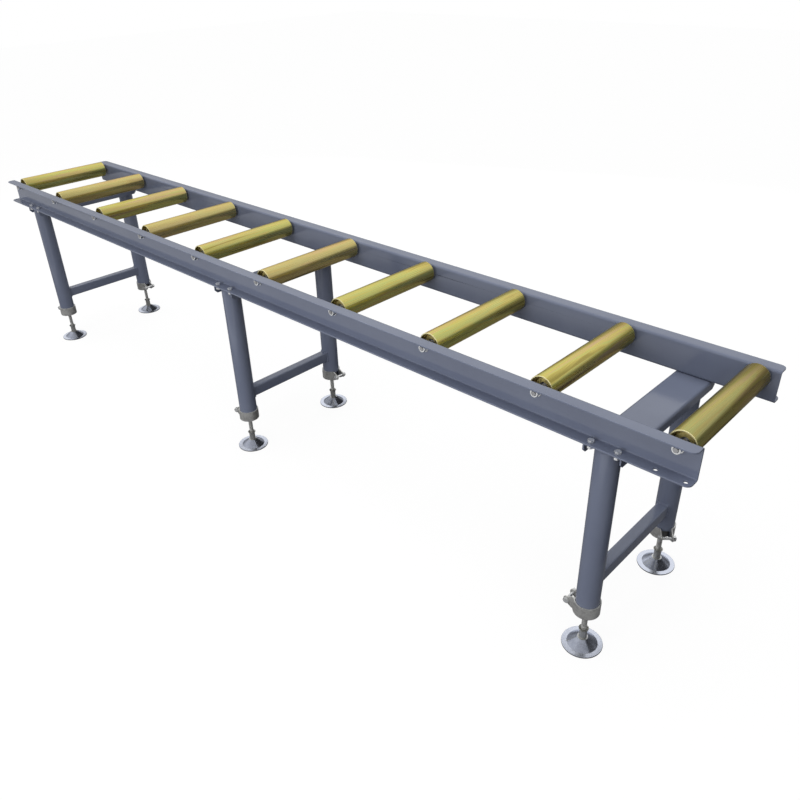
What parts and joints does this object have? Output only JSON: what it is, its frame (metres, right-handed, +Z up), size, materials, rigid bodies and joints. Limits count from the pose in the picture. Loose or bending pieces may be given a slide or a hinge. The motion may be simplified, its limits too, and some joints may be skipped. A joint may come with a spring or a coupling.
{
  "type": "roller conveyor",
  "caption": "Straight gravity roller conveyor with widely spaced plated rollers between channel rails, on bolted leg frames with clamped telescopic legs and screw feet.",
  "frame": {"origin": "on the floor, under the middle of the bed", "axes": "+X along the bed, +Y from the near rail to the far rail, +Z up"},
  "size_m": [3, 0.476, 0.675],
  "materials": {
    "rail_paint": "semi-gloss grey-blue paint",
    "frame_paint": "semi-gloss grey-blue paint",
    "roller_plating": "yellow-chromated zinc plating, satin with fine scuffs",
    "roller_end_steel": "pressed steel, dull",
    "bearing_steel": "ground steel",
    "axle_steel": "turned steel",
    "fastener_zinc": "bright zinc plating",
    "clamp_steel": "zinc plated sheet, slightly grainy",
    "inner_tube_steel": "drawn tube, dull",
    "spindle_steel": "bright zinc plated thread",
    "foot_steel": "bright zinc plated pressing"
  },
  "bodies": {
    "stand": {"near_rail": "rail_paint", "far_rail": "rail_paint", "roller_axles": "axle_steel", "axle_washers": "fastener_zinc", "axle_nuts": "fastener_zinc", "bearing_inner_rings": "bearing_steel", "cross_channel_1": "frame_paint", "cross_channel_2": "frame_paint", "cross_channel_3": "frame_paint", "leg_brace_1": "frame_paint", "leg_brace_2": "frame_paint", "leg_brace_3": "frame_paint", "leg_tube_1_near": "frame_paint", "leg_tube_1_far": "frame_paint", "leg_tube_2_near": "frame_paint", "leg_tube_2_far": "frame_paint", "leg_tube_3_near": "frame_paint", "leg_tube_3_far": "frame_paint", "frame_bolts": "fastener_zinc", "frame_nuts": "fastener_zinc", "leg_clamps": "clamp_steel", "clamp_screws": "fastener_zinc"},
    "roller_01": {"roller_tube_01": "roller_plating", "roller_bearings_01": "roller_end_steel"},
    "roller_02": {"roller_tube_02": "roller_plating", "roller_bearings_02": "roller_end_steel"},
    "roller_03": {"roller_tube_03": "roller_plating", "roller_bearings_03": "roller_end_steel"},
    "roller_04": {"roller_tube_04": "roller_plating", "roller_bearings_04": "roller_end_steel"},
    "roller_05": {"roller_tube_05": "roller_plating", "roller_bearings_05": "roller_end_steel"},
    "roller_06": {"roller_tube_06": "roller_plating", "roller_bearings_06": "roller_end_steel"},
    "roller_07": {"roller_tube_07": "roller_plating", "roller_bearings_07": "roller_end_steel"},
    "roller_08": {"roller_tube_08": "roller_plating", "roller_bearings_08": "roller_end_steel"},
    "roller_09": {"roller_tube_09": "roller_plating", "roller_bearings_09": "roller_end_steel"},
    "roller_10": {"roller_tube_10": "roller_plating", "roller_bearings_10": "roller_end_steel"},
    "telescope_1_near": {"inner_tube_1_near": "inner_tube_steel"},
    "foot_1_near": {"foot_plate_1_near": "foot_steel"},
    "spindle_1_near": {"foot_spindle_1_near": "spindle_steel"},
    "telescope_1_far": {"inner_tube_1_far": "inner_tube_steel"},
    "foot_1_far": {"foot_plate_1_far": "foot_steel"},
    "spindle_1_far": {"foot_spindle_1_far": "spindle_steel"},
    "telescope_2_near": {"inner_tube_2_near": "inner_tube_steel"},
    "foot_2_near": {"foot_plate_2_near": "foot_steel"},
    "spindle_2_near": {"foot_spindle_2_near": "spindle_steel"},
    "telescope_2_far": {"inner_tube_2_far": "inner_tube_steel"},
    "foot_2_far": {"foot_plate_2_far": "foot_steel"},
    "spindle_2_far": {"foot_spindle_2_far": "spindle_steel"},
    "telescope_3_near": {"inner_tube_3_near": "inner_tube_steel"},
    "foot_3_near": {"foot_plate_3_near": "foot_steel"},
    "spindle_3_near": {"foot_spindle_3_near": "spindle_steel"},
    "telescope_3_far": {"inner_tube_3_far": "inner_tube_steel"},
    "foot_3_far": {"foot_plate_3_far": "foot_steel"},
    "spindle_3_far": {"foot_spindle_3_far": "spindle_steel"}
  },
  "joints": [
    {"name": "roller_01_spin", "type": "hinge", "parent": "stand", "child": "roller_01", "pos_m": [-1.4535, 0, 0.645], "axis": [0, 1, 0], "continuous": true},
    {"name": "roller_02_spin", "type": "hinge", "parent": "stand", "child": "roller_02", "pos_m": [-1.1305, 0, 0.645], "axis": [0, 1, 0], "continuous": true},
    {"name": "roller_03_spin", "type": "hinge", "parent": "stand", "child": "roller_03", "pos_m": [-0.8075, 0, 0.645], "axis": [0, 1, 0], "continuous": true},
    {"name": "roller_04_spin", "type": "hinge", "parent": "stand", "child": "roller_04", "pos_m": [-0.4845, 0, 0.645], "axis": [0, 1, 0], "continuous": true},
    {"name": "roller_05_spin", "type": "hinge", "parent": "stand", "child": "roller_05", "pos_m": [-0.1615, 0, 0.645], "axis": [0, 1, 0], "continuous": true},
    {"name": "roller_06_spin", "type": "hinge", "parent": "stand", "child": "roller_06", "pos_m": [0.1615, 0, 0.645], "axis": [0, 1, 0], "continuous": true},
    {"name": "roller_07_spin", "type": "hinge", "parent": "stand", "child": "roller_07", "pos_m": [0.4845, 0, 0.645], "axis": [0, 1, 0], "continuous": true},
    {"name": "roller_08_spin", "type": "hinge", "parent": "stand", "child": "roller_08", "pos_m": [0.8075, 0, 0.645], "axis": [0, 1, 0], "continuous": true},
    {"name": "roller_09_spin", "type": "hinge", "parent": "stand", "child": "roller_09", "pos_m": [1.1305, 0, 0.645], "axis": [0, 1, 0], "continuous": true},
    {"name": "roller_10_spin", "type": "hinge", "parent": "stand", "child": "roller_10", "pos_m": [1.4535, 0, 0.645], "axis": [0, 1, 0], "continuous": true},
    {"name": "leg_1_near_extend", "type": "slide", "parent": "stand", "child": "telescope_1_near", "axis": [0, 0, -1], "range_m": [0, 0.25]},
    {"name": "foot_1_near_level", "type": "slide", "parent": "telescope_1_near", "child": "foot_1_near", "axis": [0, 0, -1], "range_m": [-0.048, 0.06]},
    {"name": "spindle_1_near_turn", "type": "hinge", "parent": "foot_1_near", "child": "spindle_1_near", "pos_m": [-1.311, -0.188, 0.03], "axis": [0, 0, -1], "range_deg": [-4321, 5401]},
    {"name": "leg_1_far_extend", "type": "slide", "parent": "stand", "child": "telescope_1_far", "axis": [0, 0, -1], "range_m": [0, 0.25]},
    {"name": "foot_1_far_level", "type": "slide", "parent": "telescope_1_far", "child": "foot_1_far", "axis": [0, 0, -1], "range_m": [-0.048, 0.06]},
    {"name": "spindle_1_far_turn", "type": "hinge", "parent": "foot_1_far", "child": "spindle_1_far", "pos_m": [-1.311, 0.188, 0.03], "axis": [0, 0, -1], "range_deg": [-4321, 5401]},
    {"name": "leg_2_near_extend", "type": "slide", "parent": "stand", "child": "telescope_2_near", "axis": [0, 0, -1], "range_m": [0, 0.25]},
    {"name": "foot_2_near_level", "type": "slide", "parent": "telescope_2_near", "child": "foot_2_near", "axis": [0, 0, -1], "range_m": [-0.048, 0.06]},
    {"name": "spindle_2_near_turn", "type": "hinge", "parent": "foot_2_near", "child": "spindle_2_near", "pos_m": [0, -0.188, 0.03], "axis": [0, 0, -1], "range_deg": [-4321, 5401]},
    {"name": "leg_2_far_extend", "type": "slide", "parent": "stand", "child": "telescope_2_far", "axis": [0, 0, -1], "range_m": [0, 0.25]},
    {"name": "foot_2_far_level", "type": "slide", "parent": "telescope_2_far", "child": "foot_2_far", "axis": [0, 0, -1], "range_m": [-0.048, 0.06]},
    {"name": "spindle_2_far_turn", "type": "hinge", "parent": "foot_2_far", "child": "spindle_2_far", "pos_m": [0, 0.188, 0.03], "axis": [0, 0, -1], "range_deg": [-4321, 5401]},
    {"name": "leg_3_near_extend", "type": "slide", "parent": "stand", "child": "telescope_3_near", "axis": [0, 0, -1], "range_m": [0, 0.25]},
    {"name": "foot_3_near_level", "type": "slide", "parent": "telescope_3_near", "child": "foot_3_near", "axis": [0, 0, -1], "range_m": [-0.048, 0.06]},
    {"name": "spindle_3_near_turn", "type": "hinge", "parent": "foot_3_near", "child": "spindle_3_near", "pos_m": [1.311, -0.188, 0.03], "axis": [0, 0, -1], "range_deg": [-4321, 5401]},
    {"name": "leg_3_far_extend", "type": "slide", "parent": "stand", "child": "telescope_3_far", "axis": [0, 0, -1], "range_m": [0, 0.25]},
    {"name": "foot_3_far_level", "type": "slide", "parent": "telescope_3_far", "child": "foot_3_far", "axis": [0, 0, -1], "range_m": [-0.048, 0.06]},
    {"name": "spindle_3_far_turn", "type": "hinge", "parent": "foot_3_far", "child": "spindle_3_far", "pos_m": [1.311, 0.188, 0.03], "axis": [0, 0, -1], "range_deg": [-4321, 5401]}
  ],
  "couplings": [
    {"joint": "spindle_1_near_turn", "follows": "foot_1_near_level", "rad_per_m": 1570.8},
    {"joint": "spindle_1_far_turn", "follows": "foot_1_far_level", "rad_per_m": 1570.8},
    {"joint": "spindle_2_near_turn", "follows": "foot_2_near_level", "rad_per_m": 1570.8},
    {"joint": "spindle_2_far_turn", "follows": "foot_2_far_level", "rad_per_m": 1570.8},
    {"joint": "spindle_3_near_turn", "follows": "foot_3_near_level", "rad_per_m": 1570.8},
    {"joint": "spindle_3_far_turn", "follows": "foot_3_far_level", "rad_per_m": 1570.8}
  ]
}
